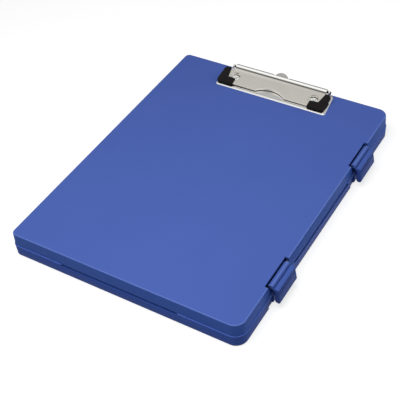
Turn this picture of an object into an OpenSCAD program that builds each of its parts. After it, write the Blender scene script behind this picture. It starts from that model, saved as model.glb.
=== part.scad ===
// Storage clipboard box: a shallow two-part case whose lid is a clipboard.
// Millimetres. X runs across the width with the latches at +X and the hinge at -X.
// Y runs along the length with the clip at +Y, and Z is up. The origin is the
// centre of the underside.

/* [Case] */
// Width of the lid over its walls
case_w = 240; // [220:1:260]
// Length of the lid over its walls
case_l = 310; // [290:1:330]
// Height of the closed case
case_h = 27; // [25:0.5:34]
// Height of the base up to the parting line
base_h = 13.1; // [12:0.1:15]
// Gap between the lid and the base at the parting line
parting_gap = 0.2; // [0.1:0.05:0.4]
// Thickness of the side walls
wall = 2.2; // [1.8:0.1:2.6]
// Thickness of the floor and of the lid's top
panel = 2.2; // [1.8:0.1:3]
// Plan radius of the case's corners on the latch side
corner_r = 11; // [8:0.5:14]
// Plan radius of the case's corners on the hinge side
hinge_corner_r = 5.5; // [5.5:0.5:10]
// Rounding of the lid's top edge
lid_edge_r = 1.3; // [0.8:0.1:2]
// Rounding of the base's bottom edge
base_edge_r = 1.6; // [1.2:0.1:3]
// Distance that the base's rim stands out past the lid
rim_proud = 0.6; // [0:0.1:0.8]
// Inward lean of the walls over their height
draft = 0.7; // [0:0.1:1]

/* [Layout] */
// Offset of the front finger slot from the middle, toward the hinge
slot_shift = 2.5; // [0:0.5:6]
// Offset of the clip's flap and rivets from the middle, toward the hinge
flap_shift = 1.5; // [0:0.1:1.6]
// Offset of the latches and of the side finger slot from the middle, toward the front
latch_shift = 3; // [0:0.5:6]

/* [Tongue and finger slots] */
// Height of the tongue above the base's rim
tongue_h = 2.5; // [1.5:0.1:4]
// Thickness of the tongue
tongue_t = 1.3; // [1:0.1:1.6]
// Clearance between the tongue and the lid's wall
tongue_gap = 0.3; // [0.2:0.05:0.4]
// Length of the finger slot in the front of the rim
slot_l = 123; // [100:1:140]
// Distance from the ends of the side's finger slot to the latches' notches
side_slot_gap = 8.4; // [4:0.2:14]
// Depth of the finger slots below the rim
slot_d = 2.5; // [1.5:0.1:3]

/* [Hinge] */
// Outer radius of the hinge knuckles
knuckle_r = 2.8; // [2.4:0.1:3.2]
// Radius of the hinge pins
pin_r = 1; // [0.8:0.05:1.3]
// Length of one knuckle
knuckle_l = 10; // [8:0.5:12]
// Gap between two knuckles
knuckle_gap = 0.4; // [0.2:0.05:0.6]
// Distance from the ends of the case to the middles of the hinges
hinge_from_end = 60; // [45:1:80]
// Height of the gusset under each knuckle
gusset_h = 5; // [3:0.5:6]

/* [Latches] */
// Distance from the ends of the case to the middles of the latches, before their offset
latch_from_end = 71; // [50:1:80]
// Length of a latch
latch_l = 31; // [28:0.2:34]
// Gap between the end of a latch and its notch
latch_end_gap = 3.6; // [0.5:0.1:4.5]
// Depth of the notch in from the lid's edge
notch_w = 4; // [4:0.1:5]
// Height of the notch down from the lid's top
notch_h = 6.5; // [6:0.1:8]
// Radius of a latch's hinge barrel
barrel_r = 1.25; // [1.2:0.05:1.4]
// Radius of a latch's pin
latch_pin_r = 0.7; // [0.5:0.05:0.8]
// Distance of the latch pin in from the lid's edge
latch_pin_in = 1.4; // [1.4:0.05:1.6]
// Distance of the latch pin below the lid's top
latch_pin_down = 2.4; // [2.2:0.05:2.8]
// Distance that a latch's finger pull stands out from the lid
latch_proud = 9; // [8.8:0.1:10]
// Height of a latch's lower end above the table
latch_bottom = 6.9; // [6.5:0.1:8]
// Radius of the latch's rolled lower end
bulb_r = 2.6; // [2.2:0.1:2.8]
// Length of the catch on the base and of the latch's tooth
catch_l = 20; // [12:1:24]
// Distance that the catch stands out from the base
catch_proud = 1.9; // [1.6:0.1:2.2]

/* [Clip] */
// Width of the clip's base plate at its front
plate_w = 128; // [121:1:135]
// Distance that each side of the plate leans in toward its rear
plate_taper = 4.6; // [3:0.1:6]
// Depth of the clip's base plate
plate_d = 33.5; // [32:0.5:36]
// Distance from the plate's rear edge to the lid's rear edge
plate_inset = 1.5; // [1:0.1:6]
// Thickness of the clip's sheet steel
sheet_t = 0.9; // [0.7:0.05:1]
// Radius of the clip's hinge rod
rod_r = 1.2; // [1:0.05:1.3]
// Height of the rod's centre above the lid
rod_up = 5.4; // [5:0.1:5.8]
// Distance of the rod's centre from the plate's rear edge
rod_in = 3.6; // [3.5:0.1:4.5]
// Outer radius of the flap's rolled edge
curl_r = 3.1; // [3:0.05:3.3]
// Angle of the flap's sheet to the lid
flap_slope = 10; // [9:0.5:11]
// Distance from the plate's front edge to the flap's front edge
flap_setback = 4.9; // [4:0.1:6]
// Distance from the plate's sides to the flap's sides
flap_inset = 3.1; // [2.5:0.1:4]
// Width of the finger cut-out in the flap's front edge
cutout_w = 34; // [24:1:44]
// Depth of the finger cut-out in the flap's front edge
cutout_d = 6.7; // [4:0.1:8]

/* [Rivets and grips] */
// Distance from the plate's front corners to the rivets, along X
rivet_from_side = 19; // [17:0.5:22]
// Distance from the plate's rear edge to the rivets
rivet_in = 16.5; // [14:0.5:18]
// Radius of the rivets' shanks
rivet_r = 1.8; // [1.5:0.05:1.9]
// Radius of the rivets' star-shaped heads
rivet_head_r = 4.6; // [4:0.1:5]
// Radius of the holes in the flap over the rivets
rivet_window_r = 5.6; // [5:0.1:5.8]
// Radius of the washers under the lid
washer_r = 5.5; // [4.5:0.1:7]
// Thickness of the rubber over the flap
grip_t = 1; // [0.6:0.1:1.2]
// Length of a grip's front leg
grip_front_l = 18.5; // [14:0.5:20]
// Width of a grip's front leg
grip_leg_w = 9.4; // [7:0.1:9.6]
// Width of a grip's side leg at its rear end
grip_side_w = 6.8; // [5:0.1:8]

/* [Hanging tab] */
// Radius of the hanging tab's outline
tab_r = 8.2; // [7.5:0.1:9]
// Reach of the hanging tab from the rod's centre
tab_reach = 6.5; // [6.3:0.1:8]
// Radius of the hole that takes a nail or a hook
hang_hole_r = 1.5; // [1.2:0.1:1.6]
// Angle of the stowed tab above the lid's plane
tab_angle = 45; // [30:1:46]

/* [Hidden] */
$fn = 48;

case_blue = [0.27, 0.36, 0.66];
nickel = [0.78, 0.76, 0.73];
rubber_black = [0.1, 0.1, 0.1];
arc_steps = 6;
through = 1;
run_gap = 0.05;

// The case
half_w = case_w / 2;
half_l = case_l / 2;
lid_z = base_h + parting_gap;
wall_lean_base = draft * base_h / (base_h + case_h - lid_z);
wall_lean_lid = draft - wall_lean_base;
tongue_depth = wall + wall_lean_lid * tongue_h / (case_h - lid_z) + tongue_gap;
slot_cut = rim_proud + tongue_depth + tongue_t + through;
inner_fillet = 1.5;
tongue_root_h = 2.2;
tongue_ramp_h = 2;

// The lid's hinge
hinge_gap = 0.4;
hinge_y = half_l - hinge_from_end;
hinge_x = -(half_w + rim_proud + knuckle_r + hinge_gap);
hinge_z = base_h + parting_gap / 2;
knuckle_count = 5;
knuckle_pitch = knuckle_l + knuckle_gap;
hinge_l = knuckle_count * knuckle_pitch - knuckle_gap;
web_top_gap = parting_gap / 2;

// The latches, in the plane across the case
latch_y = half_l - latch_from_end;
latch_middles = [-latch_shift - latch_y, -latch_shift + latch_y];
latch_pin_x = half_w - latch_pin_in;
latch_pin_z = case_h - latch_pin_down;
notch_l = latch_l + 2 * latch_end_gap;
side_slot_l = 2 * latch_y - notch_l - 2 * side_slot_gap;
ear_l = 5;
ear_wall = 1.4;
ear_r = latch_pin_r + ear_wall;
pin_bore_floor = 1;
pin_bore_l = notch_l + 2 * (ear_l - pin_bore_floor);
pin_end_gap = 0.2;
bulb_x = half_w + latch_proud - bulb_r;
bulb_z = latch_bottom + bulb_r;
latch_t = 3.2;
crown_x = half_w + 0.1;
crown_r = 2.8;
crown_top_z = case_h - 0.45;
crown_half_angle = 52;
latch_groove_x = half_w + 2.7;
latch_groove_z = case_h - 3.7;
latch_groove_w = 0.4;
latch_step_x = latch_groove_x + 2 * latch_groove_w;
latch_step_z = case_h - 3.1;
latch_step_w = 3.6;
latch_step_fall = 1.2;
latch_ridge_x = half_w + 7.4;
latch_ridge_z = case_h - 5.1;
latch_web_t = 1.2;
latch_line_pitch = 1.7;
latch_line_lean = 0.3;
latch_line_d = 0.4;
latch_line_w = 0.6;
catch_clearance = 0.6;
catch_lip_h = 1;
tooth_h = 1.1;
tooth_below_bulb = 0.8;
tooth_engage = 1.2;
catch_out_x = half_w + rim_proud + catch_proud;
tooth_top_z = bulb_z - tooth_below_bulb;
catch_low_z = tooth_top_z + catch_clearance;
catch_top_gap = 0.4;
catch_top_z = base_h - catch_top_gap;

// The clip, on the lid's top
plate_rear_w = plate_w - 2 * plate_taper;
plate_rear_y = half_l - plate_inset;
plate_front_y = plate_rear_y - plate_d;
plate_corner_r = 3;
plate_top_z = case_h + sheet_t;
rod_y = plate_rear_y - rod_in;
rod_z = case_h + rod_up;
curl_t = 0.8;
curl_in_r = curl_r - curl_t;
curl_angle = 20;
curl_start = -30;
curl_end = 180;
ear_t = 1.2;
ear_rim = 0.3;
ear_plate_r = curl_r + ear_rim;
ear_in = 2.9;
ear_out_x = plate_rear_w / 2 - ear_in;
rod_head_r = 1.7;
rod_head_t = 0.6;
flap_front_y = plate_front_y + flap_setback;
flap_start_y = rod_y - curl_r * cos(curl_angle);
flap_top_z = rod_z + curl_r * sin(curl_angle);
flap_half_w = plate_w / 2 - flap_inset;
shoulder_gap = 1.4;
shoulder_y = rod_y - ear_plate_r - shoulder_gap;
flap_corner_r = 3;
curl_end_gap = 1;
curl_half_w = ear_out_x - ear_t - curl_end_gap;
cutout_r = (cutout_w * cutout_w / 4 + cutout_d * cutout_d) / (2 * cutout_d);
rivet_x = plate_w / 2 - rivet_from_side;
rivet_y = plate_rear_y - rivet_in;
rivet_star_h = 2;
rivet_star_taper = 1;
rivet_slot_w = 0.7;
rivet_slot_floor = 0.15;
rivet_foot_r = 3.4;
rivet_foot_h = 0.8;
rivet_wall = 0.7;
rivet_bore_r = rivet_r - rivet_wall;
rivet_bore_d = 0.6;
washer_t = 0.8;

// The rubber grips over the flap's front corners
grip_wrap = 1.2;
grip_front_wrap = 2.3;
grip_corner_r = 3;
grip_end_r = 1.6;
grip_rear_gap = 0.6;
grip_side_end_y = shoulder_y - grip_rear_gap;
grip_under = 0.8;
grip_plate_gap = 0.3;

// The springs around the rod
spring_wire_r = 0.33;
spring_turns = 8;
spring_pitch = 0.9;
spring_gap = 0.2;
spring_r = rod_r + spring_gap + spring_wire_r;
spring_x = 30;
spring_foot_y = 0.9;
ring_steps = 14;
wire_sides = 8;

// The hanging tab on the rod
tab_half_w = 7.5;
tab_knuckle_t = 0.8;
tab_knuckle_r = rod_r + run_gap + tab_knuckle_t;
tab_slot_gap = 1;
tab_slot_half_w = tab_r + tab_slot_gap;
tab_slot_start = curl_start - 5;
tab_slot_end = 92;
tab_root = rod_r + tab_knuckle_t / 2;
hang_hole_edge = 0.8;
hang_hole_reach = tab_reach - hang_hole_r - hang_hole_edge;

// Points along an arc about a centre, from angle a0 to angle a1
function arc(centre, r, a0, a1, steps = arc_steps) =
    [for (i = [0:steps]) let (a = a0 + (a1 - a0) * i / steps)
        [centre[0] + r * cos(a), centre[1] + r * sin(a)]];

// A wall section swept round the case: the first child is the section drawn outward
// from a latch-side corner's centre, the second from a hinge-side corner's
module sweep_case() {
    translate([half_w - corner_r, 0, 0]) rotate([90, 0, 0])
        linear_extrude(height = case_l - 2 * corner_r, center = true) children(0);
    mirror([1, 0, 0]) translate([half_w - hinge_corner_r, 0, 0]) rotate([90, 0, 0])
        linear_extrude(height = case_l - 2 * hinge_corner_r, center = true) children(1);
    for (end = [0, 1]) mirror([0, end, 0]) {
        translate([-half_w + hinge_corner_r, half_l - corner_r, 0]) rotate([90, 0, 90])
            linear_extrude(height = case_w - corner_r - hinge_corner_r) children(0);
        translate([half_w - corner_r, half_l - corner_r, 0])
            rotate_extrude(angle = 90) children(0);
        mirror([1, 0, 0]) translate([half_w - hinge_corner_r, half_l - hinge_corner_r, 0])
            rotate_extrude(angle = 90) children(1);
    }
}

// The flat middle of the floor or of the lid's top
module case_panel(z) {
    translate([-half_w + hinge_corner_r, -half_l + corner_r, z])
        cube([case_w - corner_r - hinge_corner_r, case_l - 2 * corner_r, panel]);
}

// The base's floor edge, wall, rim and tongue; r is the corner's radius
module base_section(r) {
    rim_out = r + rim_proud;
    low_out = rim_out - wall_lean_base;
    low_in = low_out - wall;
    tongue_out = r - tongue_depth;
    tongue_in = tongue_out - tongue_t;
    ledge_z = base_h - tongue_root_h;
    polygon(concat(
        [[0, 0]],
        arc([low_out - base_edge_r, base_edge_r], base_edge_r, -90, 0),
        [[rim_out, base_h], [tongue_out, base_h], [tongue_out, base_h + tongue_h],
         [tongue_in, base_h + tongue_h], [tongue_in, ledge_z],
         [rim_out - wall - wall_lean_base / 2, ledge_z - tongue_ramp_h]],
        arc([low_in - inner_fillet, panel + inner_fillet], inner_fillet, 0, -90),
        [[0, panel]]));
}

// The lid's top edge and wall; r is the corner's radius
module lid_section(r) {
    top_out = r - wall_lean_lid;
    top_in = top_out - wall;
    top_z = case_h - panel;
    polygon(concat(
        [[0, case_h]],
        arc([top_out - lid_edge_r, case_h - lid_edge_r], lid_edge_r, 90, 0),
        [[r, lid_z], [r - wall, lid_z]],
        arc([top_in - inner_fillet, top_z - inner_fillet], inner_fillet, 0, 90),
        [[0, top_z]]));
}

// A finger slot through the rim of the front wall
module front_slot() {
    translate([-slot_shift - slot_l / 2, -half_l - rim_proud - through, base_h - slot_d])
        cube([slot_l, slot_cut + through, slot_d + tongue_h + through]);
}

// A finger slot through the rim of the latch side, between the latches
module side_slot() {
    translate([half_w + rim_proud - slot_cut, -latch_shift - side_slot_l / 2,
               base_h - slot_d])
        cube([slot_cut + through, side_slot_l, slot_d + tongue_h + through]);
}

// Where knuckle number i of a hinge begins
function knuckle_y(middle, i) = middle - hinge_l / 2 + i * knuckle_pitch;

// One knuckle with its web; dir is 1 on the lid and -1 on the base
module knuckle(y0, dir, wall_x) {
    translate([0, y0 + knuckle_l, 0]) rotate([90, 0, 0])
        linear_extrude(height = knuckle_l) {
            translate([hinge_x, hinge_z]) circle(r = knuckle_r);
            polygon([[hinge_x, hinge_z + dir * web_top_gap],
                     [wall_x, hinge_z + dir * web_top_gap],
                     [wall_x, hinge_z + dir * (knuckle_r + gusset_h)],
                     [hinge_x - knuckle_r * sin(45), hinge_z + dir * knuckle_r * cos(45)]]);
        }
}

module hinge_bore(middle) {
    translate([hinge_x, middle - hinge_l / 2 - through, hinge_z]) rotate([-90, 0, 0])
        cylinder(r = pin_r + run_gap, h = hinge_l + 2 * through);
}

module hinge_knuckles(first, dir, wall_x) {
    for (middle = [-hinge_y, hinge_y]) difference() {
        for (i = [first:2:knuckle_count - 1]) knuckle(knuckle_y(middle, i), dir, wall_x);
        hinge_bore(middle);
    }
}

module hinge_pin(middle) {
    color(nickel) translate([hinge_x, middle - hinge_l / 2, hinge_z]) rotate([-90, 0, 0])
        cylinder(r = pin_r, h = hinge_l);
}

// The catch that a latch's tooth hooks under
module latch_catch(middle) {
    root_x = half_w + rim_proud - draft - wall / 2;
    translate([0, middle + catch_l / 2, 0]) rotate([90, 0, 0])
        linear_extrude(height = catch_l)
            polygon([[root_x, catch_low_z], [catch_out_x, catch_low_z],
                     [catch_out_x, catch_low_z + catch_lip_h], [half_w + rim_proud, catch_top_z],
                     [root_x, catch_top_z]]);
}

module base_tray() {
    color(case_blue) {
        difference() {
            union() {
                case_panel(0);
                sweep_case() {
                    base_section(corner_r);
                    base_section(hinge_corner_r);
                }
            }
            front_slot();
            side_slot();
        }
        for (middle = latch_middles) latch_catch(middle);
        hinge_knuckles(0, -1, -half_w + wall / 2);
    }
}

// The notch that a latch sits in, cut through the lid's top edge
module latch_notch(middle) {
    translate([half_w - notch_w, middle - notch_l / 2, case_h - notch_h])
        cube([notch_w + through, notch_l, notch_h + through]);
}

// The two bosses inside the lid that carry a latch's pin
module latch_ears(middle) {
    for (end = [-1, 1])
        translate([0, middle + end * (notch_l + ear_l) / 2 + ear_l / 2, 0]) rotate([90, 0, 0])
            linear_extrude(height = ear_l)
                polygon([[half_w - wall / 2, case_h - panel / 2],
                         [latch_pin_x - ear_r, case_h - panel / 2],
                         [latch_pin_x - ear_r, latch_pin_z - ear_r],
                         [half_w - wall / 2, latch_pin_z - ear_r]]);
}

module latch_pin_bore(middle, r, l) {
    translate([latch_pin_x, middle - l / 2, latch_pin_z]) rotate([-90, 0, 0])
        cylinder(r = r, h = l, $fn = 32);
}

// The flap, its grips and springs and the rivets are drawn about their own middle
module at_flap() {
    translate([-flap_shift, 0, 0]) children();
}

module rivet_hole(side) {
    at_flap() translate([side * rivet_x, rivet_y, case_h - panel - through])
        cylinder(r = rivet_r + run_gap, h = panel + sheet_t + 2 * through);
}

module lid_shell() {
    color(case_blue) {
        difference() {
            union() {
                case_panel(case_h - panel);
                sweep_case() {
                    lid_section(corner_r);
                    lid_section(hinge_corner_r);
                }
                for (middle = latch_middles) latch_ears(middle);
            }
            for (middle = latch_middles) {
                latch_notch(middle);
                latch_pin_bore(middle, latch_pin_r + run_gap, pin_bore_l);
            }
            for (side = [-1, 1]) rivet_hole(side);
        }
        hinge_knuckles(1, 1, -half_w + wall / 2);
    }
}

// The outline of a latch: a crowned barrel over the pin, a groove, a lower step, an
// outer face that leans outward with two fine lines, and a rolled lower end
module latch_section() {
    difference() {
        polygon(concat(
            arc([crown_x, crown_top_z - crown_r], crown_r, 90 + crown_half_angle,
                90 - crown_half_angle),
            [[latch_groove_x, latch_groove_z],
             [latch_groove_x + latch_groove_w, latch_groove_z],
             [latch_step_x, latch_step_z],
             [latch_step_x + latch_step_w / 2, latch_step_z - latch_step_fall / 3],
             [latch_step_x + latch_step_w, latch_step_z - latch_step_fall],
             [latch_ridge_x, latch_ridge_z]],
            arc([bulb_x, bulb_z], bulb_r, 0, -180, 2 * arc_steps),
            [[latch_ridge_x - latch_t, latch_ridge_z - latch_t],
             [latch_groove_x - latch_web_t, latch_groove_z - latch_web_t / 2],
             [latch_pin_x, latch_pin_z - barrel_r]]));
        for (i = [1, 2])
            translate([latch_ridge_x + latch_line_lean * i - latch_line_d / 2,
                       latch_ridge_z - latch_line_pitch * i])
                square([2 * latch_line_d, latch_line_w]);
    }
    translate([latch_pin_x, latch_pin_z]) circle(r = barrel_r);
}

module latch(middle) {
    tooth_x = catch_out_x - tooth_engage;
    color(case_blue) difference() {
        union() {
            translate([0, middle + latch_l / 2, 0]) rotate([90, 0, 0])
                linear_extrude(height = latch_l) latch_section();
            translate([0, middle + catch_l / 2, 0]) rotate([90, 0, 0])
                linear_extrude(height = catch_l)
                    polygon([[bulb_x, tooth_top_z], [tooth_x, tooth_top_z],
                             [tooth_x, tooth_top_z - tooth_h / 2], [bulb_x, tooth_top_z - tooth_h]]);
        }
        latch_pin_bore(middle, latch_pin_r + run_gap, latch_l + 2 * through);
    }
}

module latch_pin(middle) {
    color(nickel) latch_pin_bore(middle, latch_pin_r, pin_bore_l - 2 * pin_end_gap);
}

// The outline of the clip's base plate, wider at the front
module plate_outline() {
    half_front = plate_w / 2;
    half_rear = plate_rear_w / 2;
    polygon([
        each arc([-half_front + plate_corner_r, plate_front_y + plate_corner_r],
                 plate_corner_r, 180, 270),
        each arc([half_front - plate_corner_r, plate_front_y + plate_corner_r],
                 plate_corner_r, 270, 360),
        [half_rear, plate_rear_y], [-half_rear, plate_rear_y]]);
}

// A length of rod or tube along X, through the clip's hinge line
module on_rod(x0, x1, r) {
    translate([x0, rod_y, rod_z]) rotate([0, 90, 0]) cylinder(r = r, h = x1 - x0);
}

module clip_base_plate() {
    color(nickel) difference() {
        union() {
            translate([0, 0, case_h]) linear_extrude(height = sheet_t) plate_outline();
            for (side = [0, 1]) mirror([side, 0, 0]) {
                on_rod(ear_out_x - ear_t, ear_out_x, ear_plate_r);
                translate([ear_out_x - ear_t, rod_y - ear_plate_r, case_h])
                    cube([ear_t, 2 * ear_plate_r, rod_up]);
            }
        }
        on_rod(-half_w, half_w, rod_r + run_gap);
        for (side = [-1, 1]) rivet_hole(side);
    }
}

module clip_hinge_rod() {
    color(nickel) {
        on_rod(-ear_out_x - run_gap, ear_out_x + run_gap, rod_r);
        for (side = [0, 1]) mirror([side, 0, 0])
            on_rod(ear_out_x + run_gap, ear_out_x + run_gap + rod_head_t, rod_head_r);
    }
}

// A sector of the rolled edge, from angle a0 to a1 above the rear horizontal
module curl_sector(x0, x1, a0, a1, r0, r1) {
    translate([x0, rod_y, rod_z]) rotate([0, 90, 0]) rotate([0, 0, a0 + 90])
        rotate_extrude(angle = a1 - a0)
            translate([r0, 0]) square([r1 - r0, x1 - x0]);
}

// The flap's sheet as a slab that falls to the front
module flap_slab(above, below, half_span) {
    drop = tan(flap_slope);
    front_y = plate_front_y - through;
    front_z = flap_top_z - (flap_start_y - front_y) * drop;
    translate([-half_span, 0, 0]) rotate([90, 0, 90]) linear_extrude(height = 2 * half_span)
        polygon([[flap_start_y, flap_top_z + above], [front_y, front_z + above],
                 [front_y, front_z - below], [flap_start_y, flap_top_z - below]]);
}

// The flap's outline: parallel sides, then rounded shoulders in to the rolled edge
module flap_outline() {
    corner_x = flap_half_w - flap_corner_r;
    corner_y = shoulder_y - flap_corner_r;
    polygon([
        [flap_shift - curl_half_w, flap_start_y], [flap_shift - curl_half_w, shoulder_y],
        each arc([-corner_x, corner_y], flap_corner_r, 90, 180),
        [-flap_half_w, flap_front_y], [flap_half_w, flap_front_y],
        each arc([corner_x, corner_y], flap_corner_r, 0, 90),
        [flap_shift + curl_half_w, shoulder_y], [flap_shift + curl_half_w, flap_start_y]]);
}

module clip_flap() {
    color(nickel) difference() {
        union() {
            curl_sector(flap_shift - curl_half_w, flap_shift + curl_half_w,
                        curl_start, curl_end, curl_in_r, curl_r);
            intersection() {
                flap_slab(0, sheet_t, half_w);
                linear_extrude(height = 2 * case_h) flap_outline();
            }
        }
        for (side = [-1, 1]) translate([side * rivet_x, rivet_y, case_h])
            cylinder(r = rivet_window_r, h = 2 * rod_up);
        translate([0, flap_front_y + cutout_d - cutout_r, case_h])
            cylinder(r = cutout_r, h = 2 * rod_up, $fn = 96);
        curl_sector(flap_shift - tab_slot_half_w, flap_shift + tab_slot_half_w,
                    tab_slot_start, tab_slot_end, curl_in_r - through, curl_r + through);
    }
}

// The outline of the right-hand grip: an L with rounded corners
module grip_outline() {
    out_x = flap_half_w + grip_wrap;
    front_y = flap_front_y - grip_front_wrap;
    in_x = out_x - grip_front_l;
    leg_y = front_y + grip_leg_w;
    polygon([
        each arc([in_x + grip_end_r, front_y + grip_end_r], grip_end_r, 180, 270, 3),
        each arc([out_x - grip_corner_r, front_y + grip_corner_r], grip_corner_r, 270, 360),
        each arc([out_x - grip_corner_r, grip_side_end_y - grip_corner_r],
                 grip_corner_r, 0, 90),
        [out_x - grip_side_w, grip_side_end_y],
        [out_x - grip_leg_w, leg_y],
        each arc([in_x + grip_end_r, leg_y - grip_end_r], grip_end_r, 90, 180, 3)]);
}

module clip_grip(side) {
    color(rubber_black) mirror([side < 0 ? 1 : 0, 0, 0]) difference() {
        intersection() {
            flap_slab(grip_t, sheet_t + grip_under, half_w);
            translate([0, 0, plate_top_z + grip_plate_gap]) linear_extrude(height = 2 * rod_up)
                grip_outline();
        }
        intersection() {
            flap_slab(0, sheet_t, half_w);
            linear_extrude(height = 2 * case_h) flap_outline();
        }
        translate([rivet_x, rivet_y, case_h]) cylinder(r = rivet_window_r, h = 2 * rod_up);
    }
}

// A tubular rivet whose upper end is split and rolled into a four-pointed star
module rivet(side) {
    shank_low = case_h - panel - washer_t;
    color(nickel) translate([side * rivet_x, rivet_y, 0]) difference() {
        union() {
            translate([0, 0, shank_low - rivet_foot_h])
                cylinder(r = rivet_foot_r, h = rivet_foot_h);
            translate([0, 0, shank_low]) cylinder(r = rivet_r, h = plate_top_z - shank_low);
            translate([0, 0, plate_top_z])
                cylinder(r1 = rivet_head_r, r2 = rivet_head_r - rivet_star_taper,
                         h = rivet_star_h);
        }
        translate([0, 0, plate_top_z - rivet_bore_d])
            cylinder(r = rivet_bore_r, h = 2 * rivet_star_h);
        for (a = [0:90:270]) rotate([0, 0, a])
            translate([rivet_bore_r / 2, -rivet_slot_w / 2, plate_top_z + rivet_slot_floor])
                cube([rivet_head_r, rivet_slot_w, rivet_star_h]);
    }
}

module rivet_washer(side) {
    color(nickel) translate([side * rivet_x, rivet_y, case_h - panel - washer_t]) difference() {
        cylinder(r = washer_r, h = washer_t);
        translate([0, 0, -through]) cylinder(r = rivet_r + run_gap, h = washer_t + 2 * through);
    }
}

// The centre line of a spring's wire: a foot that bears on the plate behind the rod,
// then a coil on the rod whose end is tucked into the flap's rolled edge
function spring_path() =
    let (steps = spring_turns * ring_steps,
         foot_z = -(rod_up - sheet_t - spring_wire_r - run_gap))
    concat([[0, spring_foot_y, foot_z]],
           [for (i = [0:steps]) let (a = -90 - 360 * i / ring_steps)
               [spring_pitch * i / ring_steps, spring_r * cos(a), spring_r * sin(a)]]);

function unit(v) = v / norm(v);

module wire(path, r) {
    last = len(path) - 1;
    rings = [for (i = [0:last])
        let (along = unit(path[min(i + 1, last)] - path[max(i - 1, 0)]),
             side = unit(cross(along, [1, 0, 0])),
             up = cross(side, along))
        [for (k = [0:wire_sides - 1])
            path[i] + r * (cos(360 * k / wire_sides) * side + sin(360 * k / wire_sides) * up)]];
    polyhedron(
        points = [for (ring = rings) each ring],
        faces = concat(
            [[for (k = [0:wire_sides - 1]) k]],
            [[for (k = [wire_sides - 1:-1:0]) last * wire_sides + k]],
            [for (i = [0:last - 1], k = [0:wire_sides - 1])
                let (a = i * wire_sides, n = (k + 1) % wire_sides)
                [a + k, a + wire_sides + k, a + wire_sides + n, a + n]]));
}

module clip_spring(side) {
    color(nickel) mirror([side < 0 ? 1 : 0, 0, 0])
        translate([spring_x, rod_y, rod_z]) wire(spring_path(), spring_wire_r);
}

// The hanging tab's outline: x along the rod, y outward from it
module tab_outline() {
    intersection() {
        translate([0, tab_reach - tab_r]) circle(r = tab_r);
        translate([-tab_r, tab_root]) square([2 * tab_r, tab_reach]);
    }
}

module hanging_tab() {
    color(nickel) difference() {
        union() {
            on_rod(-tab_half_w, tab_half_w, tab_knuckle_r);
            translate([0, rod_y, rod_z]) rotate([tab_angle, 0, 0])
                translate([0, 0, -sheet_t / 2]) linear_extrude(height = sheet_t) tab_outline();
        }
        on_rod(-tab_r, tab_r, rod_r + run_gap);
        translate([0, rod_y, rod_z]) rotate([tab_angle, 0, 0])
            translate([0, hang_hole_reach, -sheet_t]) cylinder(r = hang_hole_r, h = 2 * sheet_t);
    }
}

base_tray();
lid_shell();
hinge_pin(-hinge_y);  // hinge_pin_front
hinge_pin(hinge_y);  // hinge_pin_rear
latch(latch_middles[0]);  // latch_front
latch(latch_middles[1]);  // latch_rear
latch_pin(latch_middles[0]);  // latch_pin_front
latch_pin(latch_middles[1]);  // latch_pin_rear
clip_base_plate();
at_flap() clip_flap();
clip_hinge_rod();
at_flap() clip_spring(-1);  // clip_spring_left
at_flap() clip_spring(1);  // clip_spring_right
at_flap() clip_grip(-1);  // clip_grip_left
at_flap() clip_grip(1);  // clip_grip_right
at_flap() rivet(-1);  // rivet_left
at_flap() rivet(1);  // rivet_right
at_flap() rivet_washer(-1);  // rivet_washer_left
at_flap() rivet_washer(1);  // rivet_washer_right
hanging_tab();
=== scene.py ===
import math

import bmesh
import bpy
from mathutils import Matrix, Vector


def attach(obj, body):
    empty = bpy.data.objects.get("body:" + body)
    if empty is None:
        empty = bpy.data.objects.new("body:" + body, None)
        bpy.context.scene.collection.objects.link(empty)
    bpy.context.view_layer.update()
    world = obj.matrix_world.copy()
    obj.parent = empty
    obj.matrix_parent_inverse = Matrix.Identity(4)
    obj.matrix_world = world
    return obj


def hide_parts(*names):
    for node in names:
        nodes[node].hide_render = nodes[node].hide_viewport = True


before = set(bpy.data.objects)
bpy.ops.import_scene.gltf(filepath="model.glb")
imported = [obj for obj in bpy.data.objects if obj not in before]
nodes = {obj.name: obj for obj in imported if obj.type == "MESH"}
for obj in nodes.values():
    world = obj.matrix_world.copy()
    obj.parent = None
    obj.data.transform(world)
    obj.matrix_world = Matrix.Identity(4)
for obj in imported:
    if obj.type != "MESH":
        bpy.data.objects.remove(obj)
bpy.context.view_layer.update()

MM = 0.001

# The sizes that the pieces share, in millimetres
HALF_WIDTH = 120
HALF_LENGTH = 155
LID_TOP = 27
RIM_TOP = 13.1
PLATE_TOP = 27.9
ROD_Y, ROD_Z = 149.9, 32.4
ROLL_RADIUS = 3.1
FLAP_MIDDLE = -1.5
FLAP_HALF_WIDTH = 60.9
FLAP_FRONT_Y = 124.9
FLAP_REAR_Y = 146.3
FLAP_SLOPE = math.radians(10)
FLAP_REAR_Z = 33.34
SHOULDER_Y = 145.1
ROLL_HALF_WIDTH = 53.2
EAR_OUT = 56.5
CUTOUT = (FLAP_MIDDLE, FLAP_FRONT_Y - 18.22)
CUTOUT_RADIUS = 24.92
RIVET_OUT, RIVET_Y = 45, 137
STAR_OUT, STAR_Y = 45.6, 135
LATCH_PIN_X, LATCH_PIN_Z = 118.6, 24.6
LATCH_MIDDLES = {"front": -87, "rear": 81}
LATCH_LENGTH = 31

# The turns that lay a round bar along X or Y
ALONG_X = (0, math.pi / 2, 0)
ALONG_Y = (math.pi / 2, 0, 0)

# The angle, in degrees, past which an edge counts as folded or as square
FOLDED, SQUARE = 40, 60


# ---------------------------------------------------------------- finishes

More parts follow.
